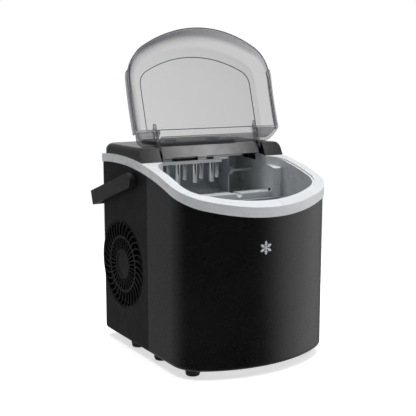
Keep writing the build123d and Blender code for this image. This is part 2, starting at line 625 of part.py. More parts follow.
def evaporator():
    """Flat header with a turned-down front edge, hung from two tabs ahead of the tray's axis."""
    low = HEADER_TOP_Z - HEADER_THICK
    right = FIRST_FINGER_X + 3 * FINGER_PITCH + 10
    wide = box((FIRST_FINGER_X - 4.5, right), (AXIS_Y - HEADER_HALF, AXIS_Y + HEADER_HALF), (low, HEADER_TOP_Z))
    tail = box((right - 1, right + 26), (AXIS_Y - 2, AXIS_Y + HEADER_HALF), (low, HEADER_TOP_Z))
    header = wide + tail
    for x in (-60.0, -6.0):
        header = header + box((x - 7, x + 7), (AXIS_Y - 9, AXIS_Y - 6.1), (HEADER_TOP_Z - 1, CEILING_Z))
    return header


def finger_shield():
    """White strip that covers the header's front edge."""
    front = AXIS_Y - HEADER_HALF
    low = HEADER_TOP_Z - HEADER_THICK
    left, right = FIRST_FINGER_X - 4.5, FIRST_FINGER_X + 3 * FINGER_PITCH + 10
    return box((left, right), (front - 1.6, front), (low - 0.6, HEADER_TOP_Z + 0.4))


def evaporator_fingers():
    """Bullet shaped cooling fingers that the ice forms on."""
    fingers = []
    low = HEADER_TOP_Z - HEADER_THICK
    for x, y in finger_places():
        finger = rod_z(FINGER_RADIUS, x, y, (FINGER_BOTTOM_Z, low))
        end = finger.faces().sort_by(Axis.Z)[0].edges()
        fingers.append(fillet(end, FINGER_RADIUS * 0.7))
    return Compound(fingers)


def evaporator_pipe():
    """Refrigerant line that runs along the header's top and down past the tray's end."""
    y, z = AXIS_Y - 3.4, HEADER_TOP_Z + 2.4
    rear = CHAMBER_REAR + 9
    points = [(-72, y, z), (66, y, z), (66, rear, z), (66, rear, 172), SUCTION_TOP]
    return pipe(points, 2.4, 6.0)


def tray_shell():
    """Half-round trough with end plates, drawn level, open upwards."""
    inner = TRAY_RADIUS - TRAY_WALL
    x = (TRAY_LEFT, TRAY_RIGHT)
    trough = rod_x(TRAY_RADIUS, x, AXIS_Y, AXIS_Z) & box((-TALL, TALL), (-TALL, TALL), (0, AXIS_Z))
    trough = trough - rod_x(inner, (TRAY_LEFT + 2, TRAY_RIGHT - 2), AXIS_Y, AXIS_Z)
    spout = box((TRAY_RIGHT - 14, TRAY_RIGHT - 4), (AXIS_Y - TRAY_RADIUS - 2, AXIS_Y - inner + 1),
                (AXIS_Z - 7, AXIS_Z - 0.2))
    bosses = [rod_x(6.0, (TRAY_RIGHT - 2, TRAY_RIGHT + 3), AXIS_Y, AXIS_Z),
              rod_x(6.0, (TRAY_LEFT - 1.2, TRAY_LEFT + 2), AXIS_Y, AXIS_Z)]
    return trough + spout + bosses


def tilted(solid):
    """From level to the tray's rest position behind the fingers."""
    return solid.rotate(Axis((0, AXIS_Y, AXIS_Z), (1, 0, 0)), TRAY_REST_TILT)


def water_tray():
    tray = tray_shell()
    tray = tray - rod_x(SHAFT_RADIUS, (TRAY_RIGHT - 1.5, TRAY_RIGHT + 5), AXIS_Y, AXIS_Z)
    tray = tray - rod_x(SHAFT_RADIUS + RUNNING, (TRAY_LEFT - 5, TRAY_LEFT + 1), AXIS_Y, AXIS_Z)
    return tilted(tray)


def ice_shovel():
    """Comb along the tray's front edge that rakes the ice over the ledge as the tray comes back."""
    x = (TRAY_LEFT + 4, TRAY_RIGHT - 18)
    outer = TRAY_RADIUS + 5.0
    bar = box(x, (AXIS_Y - TRAY_RADIUS - 1.8, AXIS_Y - TRAY_RADIUS), (AXIS_Z - 9, AXIS_Z - 0.4))
    teeth = []
    count = 12
    pitch = (x[1] - x[0] - 4) / (count - 1)
    for n in range(count):
        left = x[0] + pitch * n
        teeth.append(box((left, left + 4), (AXIS_Y - outer, AXIS_Y - TRAY_RADIUS), (AXIS_Z - 3, AXIS_Z - 0.4)))
    return tilted(bar + teeth)


def tray_shaft():
    return rod_x(SHAFT_RADIUS, (TRAY_RIGHT - 1.5, CHAMBER_RIGHT + 5), AXIS_Y, AXIS_Z)


def tray_bearing():
    """Stub fixed to the chamber's left wall that the tray's left end turns on."""
    left = CHAMBER_LEFT + LINER_WALL
    return rod_x(SHAFT_RADIUS, (left, TRAY_LEFT + 0.8), AXIS_Y, AXIS_Z)


def tray_motor():
    """Geared motor on the outside of the chamber's right wall."""
    x = CHAMBER_RIGHT + 0.2
    can = rod_x(13, (x, x + 15), AXIS_Y + 4, AXIS_Z - 4)
    ears = box((x, x + 2), (AXIS_Y - 18, AXIS_Y + 26), (AXIS_Z - 9, AXIS_Z + 1))
    return can + ears - rod_x(SHAFT_RADIUS + RUNNING, (x - 5, x + 10), AXIS_Y, AXIS_Z)


def ice_sensor():
    """Infrared lens in the chamber's wall that sees when the basket is full."""
    body = rod_x(2.4, (CHAMBER_RIGHT - LINER_WALL - 0.4, CHAMBER_RIGHT + 4), SENSOR_Y, SENSOR_Z)
    return body + rod_x(4.0, (CHAMBER_RIGHT + 0.1, CHAMBER_RIGHT + 5), SENSOR_Y, SENSOR_Z)


def fill_hose():
    """Water hose from the pump up beside the chamber and over the tray."""
    x, y, high = HOSE_X, HOSE_Y, AXIS_Z + 28
    start = (PUMP_BODY_X, PUMP_Y + 26.05, FOOT_HEIGHT + 16)
    bend = (PUMP_BODY_X, y, FOOT_HEIGHT + 16)
    over = AXIS_Y - 5
    return pipe([start, bend, (x, y, 60), (x, y, high), (x, over, high), (TRAY_RIGHT - 6, over, high)],
                HOSE_RADIUS, 6.0)


# ---------------------------------------------------------------- water pump
def pump_body():
    """Round pump chamber with a motor above it and two stubs."""
    z = (FOOT_HEIGHT + 8.0, FOOT_HEIGHT + 26.0)
    body = rod_z(16, PUMP_BODY_X, PUMP_Y, z) - rod_z(13, PUMP_BODY_X, PUMP_Y, (z[0] + 3, z[1] - 3))
    motor = rod_z(14, PUMP_BODY_X, PUMP_Y, (z[1], z[1] + 24))
    foot = box((PUMP_BODY_X - 16, PUMP_BODY_X + 16), (PUMP_Y - 8, PUMP_Y + 8), (FOOT_HEIGHT + PLATE, z[0] + 1))
    inlet = rod_y(4.0, PUMP_BODY_X, (PUMP_Y - 26, PUMP_Y - 14), z[0] + 8)
    outlet = rod_y(4.0, PUMP_BODY_X, (PUMP_Y + 14, PUMP_Y + 26), z[0] + 8)
    return body + motor + foot + inlet + outlet - rod_z(1.5, PUMP_BODY_X, PUMP_Y, (z[0] + 1, z[1] + 4))


def pump_impeller():
    z = (FOOT_HEIGHT + 12.0, FOOT_HEIGHT + 22.0)
    hub = rod_z(4.0, PUMP_BODY_X, PUMP_Y, z)
    wheel = hub + rod_z(1.5 - RUNNING, PUMP_BODY_X, PUMP_Y, (z[0] - 2.5, z[1] + 6))
    for n in range(5):
        vane = box((PUMP_BODY_X, PUMP_BODY_X + 11), (PUMP_Y - 0.8, PUMP_Y + 0.8), z)
        wheel = wheel + vane.rotate(Axis((PUMP_BODY_X, PUMP_Y, 0), (0, 0, 1)), 72 * n)
    return wheel


# ---------------------------------------------------------------- refrigeration
def compressor():
    """Welded can with a domed top, on a three-armed bracket."""
    low = FOOT_HEIGHT + PLATE + 8
    can = rod_z(COMPRESSOR_RADIUS, COMPRESSOR_X, COMPRESSOR_Y, (low, low + 118))
    rims = can.faces().sort_by(Axis.Z)
    can = fillet(rims[-1].edges() + rims[0].edges(), 20)
    seam = rod_z(COMPRESSOR_RADIUS + 1.6, COMPRESSOR_X, COMPRESSOR_Y, (low + 58, low + 62))
    bracket = rod_z(12, COMPRESSOR_X, COMPRESSOR_Y, (low - 2, low + 2))
    for x, y in compressor_feet():
        run = hypot(x - COMPRESSOR_X, y - COMPRESSOR_Y)
        arm = Pos(COMPRESSOR_X + run / 2, COMPRESSOR_Y, low - 1) * Box(run, 16, 2)
        turn = degrees(atan2(y - COMPRESSOR_Y, x - COMPRESSOR_X))
        arm = arm.rotate(Axis((COMPRESSOR_X, COMPRESSOR_Y, 0), (0, 0, 1)), turn)
        bracket = bracket + arm + rod_z(9, x, y, (low - 2, low))
    holes = [rod_z(4.2, x, y, (0, low + 1)) for x, y in compressor_feet()]
    return can + seam + bracket - holes


def compressor_feet():
    spots = []
    for n in range(3):
        turn = radians(90 + 120 * n)
        spots.append((COMPRESSOR_X + 42 * cos(turn), COMPRESSOR_Y + 42 * sin(turn)))
    return spots


def compressor_mounts():
    """Rubber grommets between bracket and base plate."""
    base = FOOT_HEIGHT + PLATE
    solids = []
    for x, y in compressor_feet():
        solids.append(rod_z(7.5, x, y, (base, base + 6)) + rod_z(4.0, x, y, (base + 6, base + 9.5)))
    return Compound(solids)


def condenser():
    """Serpentine tube through a stack of fins, behind the fan."""
    x = (-76.0, -54.0)
    y, z = (6.0, 108.0), (66.0, 164.0)
    fins = []
    count = 30
    for n in range(count):
        at = y[0] + 3 + (y[1] - y[0] - 6) * n / (count - 1)
        fins.append(box(x, (at - 0.35, at + 0.35), z))
    plates = [box(x, (y[0], y[0] + 1.2), z), box(x, (y[1] - 1.2, y[1]), z)]
    tubes = [rod_y(3.5, -65.0, (y[0] - 4, y[1] + 4), z[0] + 12 + 18.5 * n) for n in range(5)]
    ends = []
    for n in range(4):
        at = y[1] + 4 if n % 2 else y[0] - 4
        ends.append(rod_z(3.5, -65.0, at, (z[0] + 12 + 18.5 * n, z[0] + 12 + 18.5 * (n + 1))))
    solid = fins[0] + fins[1:] + plates + tubes + ends
    return solid


def suction_line():
    x, y = SUCTION_TOP[0], SUCTION_TOP[1]
    end = COMPRESSOR_X + COMPRESSOR_RADIUS + 0.05
    return pipe([(x, y, SUCTION_TOP[2] - 3), (x, y, 52), (x, COMPRESSOR_Y, 52), (end, COMPRESSOR_Y, 52)], 2.4, 4.0)


def filter_drier():
    body = rod_z(9, -30, 100, (60, 128))
    ends = body.faces().sort_by(Axis.Z)
    body = fillet(ends[0].edges() + ends[-1].edges(), 5)
    return body + rod_z(3, -30, 100, (50, 138))


def solenoid_valve():
    """Hot-gas valve that frees the ice."""
    body = rod_z(8, -30, 30, (120, 136)) + box((-40, -20), (22, 38), (136, 158))
    return body + rod_x(3, (-46, -14), 30, 126)


# ---------------------------------------------------------------- electrics
def control_board():
    """Main circuit board upright behind the chamber, with its larger components."""
    board = box((-80, 60), (92, 93.6), (180, 240))
    parts = [box((-70, -40), (80, 92), (190, 215)), box((-20, 0), (84, 92), (195, 210)),
             rod_y(7, 30, (78, 92), 205), rod_y(5, 48, (80, 92), 222), box((-60, -20), (87, 92), (224, 232))]
    return board + parts


def display_board():
    top = COVER_TOP_Z - SHELL - 2.2
    board = box((-50, 50), (48, 92), (top - 1.4, top))
    pillars = [rod_z(2.5, x, 88.5, (top - 0.5, COVER_TOP_Z - SHELL)) for x in (-47, 47)]
    return board + pillars


def board_bracket():
    """Upright steel bracket that carries the circuit board."""
    plate = box((-84, 64), (93.8, 95.0), (176, 244))
    return plate + box((-84, 64), (93.8, 108), (176, 177.2))


# ---------------------------------------------------------------- underside
def base_plate():
    plate = column(outline(LIP + 0.3), FOOT_HEIGHT, FOOT_HEIGHT + PLATE)
    vents = []
    for n in range(9):
        x = -50.0 + 12.0 * n
        vents.append(box((x, x + 5), (-10, 15), (0, 30)))
    holes = [rod_z(DRAIN_RADIUS, DRAIN_CAP_X, DRAIN_CAP_Y, (0, 30))]
    holes += [rod_z(1.7, x, y, (0, 30)) for x, y in BASE_SCREWS]
    return plate - vents - holes


def feet():
    """Six rubber feet with a rounded lower edge."""
    solids = []
    for x, y in FOOT_PLACES:
        foot = Pos(x, y, FOOT_HEIGHT / 2) * Cone(FOOT_RADIUS - 1.5, FOOT_RADIUS, FOOT_HEIGHT)
        foot = fillet(foot.faces().sort_by(Axis.Z)[0].edges(), 1.5)
        solids.append(foot)
    return Compound(solids)


def drain_cap():
    """Screw cap of the water drain, with a ribbed edge, clear of the worktop."""
    cap = rod_z(9.0, DRAIN_CAP_X, DRAIN_CAP_Y, (1.0, FOOT_HEIGHT - 0.4))
    cap = fillet(cap.faces().sort_by(Axis.Z)[0].edges(), 1.5)
    ribs = []
    for n in range(16):
        rib = rod_z(0.8, DRAIN_CAP_X + 9.0, DRAIN_CAP_Y, (3.6, FOOT_HEIGHT - 0.6))
        ribs.append(rib.rotate(Axis((DRAIN_CAP_X, DRAIN_CAP_Y, 0), (0, 0, 1)), 22.5 * n))
    stem = rod_z(DRAIN_RADIUS - 1.2, DRAIN_CAP_X, DRAIN_CAP_Y, (FOOT_HEIGHT - 1, FOOT_HEIGHT + 10))
    return cap + ribs + stem


def drain_fitting():
    """Threaded sleeve held in the base plate, with the hose from the basin's floor."""
    flange = rod_z(9.5, DRAIN_CAP_X, DRAIN_CAP_Y, (FOOT_HEIGHT + PLATE, FOOT_HEIGHT + PLATE + 2))
    sleeve = rod_z(DRAIN_RADIUS, DRAIN_CAP_X, DRAIN_CAP_Y, (FOOT_HEIGHT, FOOT_HEIGHT + 14))
    bore = rod_z(DRAIN_RADIUS - 1.1, DRAIN_CAP_X, DRAIN_CAP_Y, (0, FOOT_HEIGHT + 12))
    return flange + sleeve - bore


def base_screws():
    """Pan-head screws of the underside."""
    solids = []
    for x, y in BASE_SCREWS:
        head = rod_z(3.4, x, y, (FOOT_HEIGHT - 2.0, FOOT_HEIGHT))
        head = head - box((x - 2, x + 2), (y - 0.4, y + 0.4), (FOOT_HEIGHT - 2.5, FOOT_HEIGHT - 1.2))
        head = head - box((x - 0.4, x + 0.4), (y - 2, y + 2), (FOOT_HEIGHT - 2.5, FOOT_HEIGHT - 1.2))
        solids.append(head + rod_z(1.6, x, y, (FOOT_HEIGHT - 0.5, FOOT_HEIGHT + 8)))
    return Compound(solids)


def housing_screws():
    """Screws of the back."""
    solids = []
    for x, z in HOUSING_SCREWS:
        head = rod_y(3.4, x, (REAR_Y, REAR_Y + 1.8), z)
        head = head - box((x - 2, x + 2), (REAR_Y + 1, REAR_Y + 3), (z - 0.4, z + 0.4))
        head = head - box((x - 0.4, x + 0.4), (REAR_Y + 1, REAR_Y + 3), (z - 2, z + 2))
        solids.append(head + rod_y(1.5, x, (REAR_Y - 8, REAR_Y + 0.5), z))
    return Compound(solids)


def cord_gland():
    """Bushing in the back that a mains cord would pass through."""
    flange = rod_y(11.0, GLAND_X, (REAR_Y, REAR_Y + 3), GLAND_Z)
    flange = fillet(flange.faces().sort_by(Axis.Y)[-1].edges(), 1.2)
    body = rod_y(GLAND_RADIUS - 0.1, GLAND_X, (REAR_Y - 8, REAR_Y + 1), GLAND_Z)
    nut = rod_y(10.5, GLAND_X, (REAR_Y - 6, REAR_Y - SHELL), GLAND_Z)
    return flange + body + nut - rod_y(3.6, GLAND_X, (REAR_Y - 20, REAR_Y + 10), GLAND_Z)


# ---------------------------------------------------------------- all sub-parts
def all_parts():
    return {
        "front_panel": front_panel(),
        "rear_housing": rear_housing(),
        "top_ring": top_ring(),
        "top_cover": top_cover(),
        "control_panel": control_panel(),
        "power_button": push_button(-BUTTON_X),
        "select_button": push_button(BUTTON_X),
        "indicator_lenses": indicator_lenses(),
        "lid": lid(),
        "lid_hinge_pins": hinge_pins(),
        "handle": handle(),
        "handle_pivots": handle_pivots(),
        "air_grille": air_grille(),
        "fan_shroud": fan_shroud(),
        "fan_motor": fan_motor(),
        "fan_rotor": fan_rotor(),
        "inner_liner": inner_liner(),
        "insulation": insulation(),
        "ice_basket": ice_basket(),
        "evaporator": evaporator(),
        "evaporator_fingers": evaporator_fingers(),
        "finger_shield": finger_shield(),
        "evaporator_pipe": evaporator_pipe(),
        "water_tray": water_tray(),
        "ice_shovel": ice_shovel(),
        "tray_shaft": tray_shaft(),
        "tray_bearing": tray_bearing(),
        "tray_motor": tray_motor(),
        "ice_sensor": ice_sensor(),
        "fill_hose": fill_hose(),
        "pump_body": pump_body(),
        "pump_impeller": pump_impeller(),
        "compressor": compressor(),
        "compressor_mounts": compressor_mounts(),
        "condenser": condenser(),
        "suction_line": suction_line(),
        "filter_drier": filter_drier(),
        "solenoid_valve": solenoid_valve(),
        "control_board": control_board(),
        "display_board": display_board(),
        "board_bracket": board_bracket(),
        "base_plate": base_plate(),
        "base_screws": base_screws(),
        "feet": feet(),
        "drain_cap": drain_cap(),
        "drain_fitting": drain_fitting(),
        "housing_screws": housing_screws(),
        "cord_gland": cord_gland(),
    }


os.makedirs("parts", exist_ok=True)
for name, solid in all_parts().items():
    export_step(solid, f"parts/{name}.step")
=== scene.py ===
import json
import math
import bpy
import bmesh
from mathutils import Matrix, Vector


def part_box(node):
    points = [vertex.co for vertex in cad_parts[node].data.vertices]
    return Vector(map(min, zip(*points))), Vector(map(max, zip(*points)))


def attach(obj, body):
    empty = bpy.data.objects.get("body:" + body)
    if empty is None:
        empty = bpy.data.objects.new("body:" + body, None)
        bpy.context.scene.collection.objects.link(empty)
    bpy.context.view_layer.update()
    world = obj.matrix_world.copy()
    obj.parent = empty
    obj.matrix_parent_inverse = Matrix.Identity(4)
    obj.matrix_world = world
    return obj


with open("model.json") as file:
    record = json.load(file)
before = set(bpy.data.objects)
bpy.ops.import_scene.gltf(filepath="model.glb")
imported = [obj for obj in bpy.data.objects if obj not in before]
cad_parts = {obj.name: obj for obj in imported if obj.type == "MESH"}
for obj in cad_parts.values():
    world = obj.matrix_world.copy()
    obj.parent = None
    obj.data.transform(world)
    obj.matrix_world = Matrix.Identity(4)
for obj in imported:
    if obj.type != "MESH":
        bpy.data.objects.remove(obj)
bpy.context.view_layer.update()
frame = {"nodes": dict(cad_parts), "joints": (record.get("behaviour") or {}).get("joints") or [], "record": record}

NODES = frame["nodes"]

# ------------------------------------------------------------ sizes, in metres
BULGE_RADIUS, CORNER_RADIUS = 0.1833, 0.045      # the front's bulge and its corners, seen from above
MARK_X, MARK_Z, MARK_SIZE, MARK_LIFT = -0.013, 0.162, 0.0085, 0.00003
MARK_STROKE, MARK_DEPTH = 0.0011, 0.0002
SYMBOL_STROKE, SYMBOL_SINK, SYMBOL_SIZE = 0.0006, 0.00005, 0.0042
POWER_RING, POWER_GAP, POWER_STEPS = 0.0034, math.radians(38), 20
POWER_BAR = (0.0012, 0.0044)
LID_SWING = math.radians(-120)                   # from the closed lid's place to the open one
LID_SLOPE = math.tan(math.radians(13.9))         # fall of the lid's flat window towards the front
LID_CORNER_Y, LID_CORNER_Z = -0.0066, 0.2746     # where the window starts, lid closed
WINDOW_INSET, WINDOW_REAR, WINDOW_LIFT = 0.0245, -0.0184, 0.0009
RIM_CENTRE_Y, RIM_CENTRE_Z, RIM_RADIUS = 0.068, -0.1839, 0.4479
RIM_INSET, RIM_LIFT, RIM_START = 0.0002, 0.0004, 0.004
BEAD_RADIUS = 0.0005

# ------------------------------------------------------------ studio
FLOOR_HALF, FLOOR_FADE = 4.0, (0.35, 0.9)
FLOOR_GLOW = 0.62                                # lifts the shadow towards white
CAMERA_PLACE = Vector((-0.59264, -0.93950, 0.37309))
CAMERA_AIM = Vector((-0.02464, -0.02400, 0.19593))
CAMERA_LENS, CAMERA_SENSOR = 71.75, 36.0
ROOM_LOBE = ((-0.45, -0.89, 0.0), (0.52, -0.05), (0.03, 0.30))
SOFTBOX_LOBE = ((0.92, -0.39, 0.0), (0.74, 0.94), (0.0, 0.78))
LAMPS = (
    ("overhead", (0.1, 0.1, 1.9), (0, 0, 0), (1.7, 1.7), 40),
    ("front_right", (0.72, -0.78, 1.165), (0, 0, 0.25), (0.2, 0.2), 1.6),
    ("back_right", (1.0, 1.7, 0.55), (0, 0, 0.28), (2.2, 0.5), 1.0),
)


# ------------------------------------------------------------ node helpers
def new_material(name):
    material = bpy.data.materials.new(name)
    material.use_nodes = True
    tree = material.node_tree
    shader = tree.nodes["Principled BSDF"]
    return material, tree, shader


def add(tree, kind, **values):
    """A node with its named input values set."""
    node = tree.nodes.new(kind)
    for key, value in values.items():
        node.inputs[key.replace("_", " ")].default_value = value
    return node


def coordinates(tree):
    return tree.nodes.new("ShaderNodeTexCoord").outputs["Object"]


def noise(tree, scale, detail=3.0, roughness=0.5, stretch=None):
    """Noise in metres: scale is in cycles per metre, stretch squeezes it along an axis."""
    node = add(tree, "ShaderNodeTexNoise", Scale=scale, Detail=detail, Roughness=roughness)
    source = coordinates(tree)
    if stretch:
        mapping = add(tree, "ShaderNodeMapping", Scale=stretch)
        tree.links.new(source, mapping.inputs["Vector"])
        source = mapping.outputs["Vector"]
    tree.links.new(source, node.inputs["Vector"])
    return node.outputs["Fac"]


def spread(tree, source, low, high, start=0.3, end=0.7):
    """Maps the stretch from start to end of a value onto low..high."""
    node = tree.nodes.new("ShaderNodeMapRange")
    node.inputs["From Min"].default_value = start
    node.inputs["From Max"].default_value = end
    node.inputs["To Min"].default_value = low
    node.inputs["To Max"].default_value = high
    tree.links.new(source, node.inputs["Value"])
    return node.outputs["Result"]


def mix_colour(tree, factor, first, second):
    node = tree.nodes.new("ShaderNodeMix")
    node.data_type = "RGBA"
    node.inputs[6].default_value = (*first, 1.0)
    node.inputs[7].default_value = (*second, 1.0)
    tree.links.new(factor, node.inputs[0])
    return node.outputs[2]


def bump(tree, shader, height, strength, distance):
    node = add(tree, "ShaderNodeBump", Strength=strength, Distance=distance)
    tree.links.new(height, node.inputs["Height"])
    tree.links.new(node.outputs["Normal"], shader.inputs["Normal"])
    return node


def edge_wear(tree, radius):
    """1 on flat places and lower near sharp edges, from a bevelled normal."""
    bevel = tree.nodes.new("ShaderNodeBevel")
    bevel.inputs["Radius"].default_value = radius
    geometry = tree.nodes.new("ShaderNodeNewGeometry")
    dot = tree.nodes.new("ShaderNodeVectorMath")
    dot.operation = "DOT_PRODUCT"
    tree.links.new(bevel.outputs["Normal"], dot.inputs[0])
    tree.links.new(geometry.outputs["Normal"], dot.inputs[1])
    return dot.outputs["Value"]


def plastic(name, dark, light, rough=(0.35, 0.5), grain=1400.0, relief=0.15, coat=0.0, specular=0.5):
    """Moulded plastic: cloudy tone, fine spark-eroded grain and slightly uneven gloss."""
    material, tree, shader = new_material(name)
    cloud = noise(tree, 14.0, 4.0)
    colour = mix_colour(tree, spread(tree, cloud, 0.0, 1.0), dark, light)
    tree.links.new(colour, shader.inputs["Base Color"])
    smear = noise(tree, 45.0, 5.0, 0.6)
    tree.links.new(spread(tree, smear, rough[0], rough[1]), shader.inputs["Roughness"])
    shader.inputs["Specular IOR Level"].default_value = specular
    shader.inputs["Coat Weight"].default_value = coat
    shader.inputs["Coat Roughness"].default_value = 0.12
    bump(tree, shader, noise(tree, grain, 2.0), relief, 0.0002)
    return material


def metal(name, dark, light, rough=(0.25, 0.4), stretch=(1.0, 1.0, 30.0), grain=120.0):
    """Drawn or brushed metal: streaks along one axis with uneven polish and tarnish."""
    material, tree, shader = new_material(name)
    streak = noise(tree, grain, 4.0, 0.6, stretch)
    tarnish = noise(tree, 30.0, 4.0)
    colour = mix_colour(tree, spread(tree, tarnish, 0.0, 1.0), dark, light)
    tree.links.new(colour, shader.inputs["Base Color"])
    tree.links.new(spread(tree, streak, rough[0], rough[1]), shader.inputs["Roughness"])
    shader.inputs["Metallic"].default_value = 1.0
    bump(tree, shader, streak, 0.1, 0.0001)
    return material


def smoky_lid():
    """Clear grey plastic: denser where the wall is seen edge on, blue-grey lines along its sharp edges."""
    material, tree, shader = new_material("smoky_lid")
    haze = noise(tree, 22.0, 4.0)
    body = mix_colour(tree, spread(tree, haze, 0.0, 1.0), (0.17, 0.17, 0.195), (0.22, 0.22, 0.245))
    flat = edge_wear(tree, 0.0012)
    edge = spread(tree, flat, 1.0, 0.0, 0.80, 0.97)
    colour = tree.nodes.new("ShaderNodeMix")
    colour.data_type = "RGBA"
    colour.inputs[7].default_value = (0.035, 0.035, 0.075, 1.0)
    tree.links.new(edge, colour.inputs[0])
    tree.links.new(body, colour.inputs[6])
    tree.links.new(colour.outputs[2], shader.inputs["Base Color"])
    facing = add(tree, "ShaderNodeLayerWeight", Blend=0.45)
    curve = spread(tree, facing.outputs["Facing"], 0.25, 0.88, 0.12, 0.80)
    density = tree.nodes.new("ShaderNodeMath")
    density.operation = "MULTIPLY_ADD"
    density.use_clamp = True
    tree.links.new(edge, density.inputs[0])
    density.inputs[1].default_value = 0.7
    tree.links.new(curve, density.inputs[2])
    tree.links.new(density.outputs["Value"], shader.inputs["Alpha"])
    tree.links.new(spread(tree, noise(tree, 60.0, 4.0), 0.05, 0.14), shader.inputs["Roughness"])
    shader.inputs["IOR"].default_value = 1.49
    return material


def glow_lens():
    material, tree, shader = new_material("lamp_lens")
    tone = noise(tree, 500.0, 2.0)
    colour = mix_colour(tree, tone, (0.30, 0.36, 0.33), (0.45, 0.50, 0.47))
    tree.links.new(colour, shader.inputs["Base Color"])
    tree.links.new(spread(tree, noise(tree, 800.0), 0.1, 0.25), shader.inputs["Roughness"])
    shader.inputs["Subsurface Weight"].default_value = 0.2
    return material


def circuit_board():
    """Green solder mask with a fine lattice of traces."""
    material, tree, shader = new_material("circuit_board")
    brick = tree.nodes.new("ShaderNodeTexBrick")
    brick.inputs["Scale"].default_value = 160.0
    brick.inputs["Mortar Size"].default_value = 0.03
    brick.inputs["Color1"].default_value = (0.01, 0.11, 0.04, 1)
    brick.inputs["Color2"].default_value = (0.015, 0.15, 0.05, 1)
    brick.inputs["Mortar"].default_value = (0.05, 0.26, 0.10, 1)
    tree.links.new(coordinates(tree), brick.inputs["Vector"])
    tree.links.new(brick.outputs["Color"], shader.inputs["Base Color"])
    tree.links.new(spread(tree, noise(tree, 300.0), 0.25, 0.45), shader.inputs["Roughness"])
    return material


def foam():
    """Cellular insulation with a pitted skin."""
    material, tree, shader = new_material("foam")
    cells = add(tree, "ShaderNodeTexVoronoi", Scale=450.0)
    tree.links.new(coordinates(tree), cells.inputs["Vector"])
    tone = noise(tree, 25.0, 4.0)
    colour = mix_colour(tree, tone, (0.72, 0.66, 0.48), (0.86, 0.82, 0.66))
    tree.links.new(colour, shader.inputs["Base Color"])
    shader.inputs["Roughness"].default_value = 0.9
    bump(tree, shader, cells.outputs["Distance"], 0.5, 0.0006)
    return material


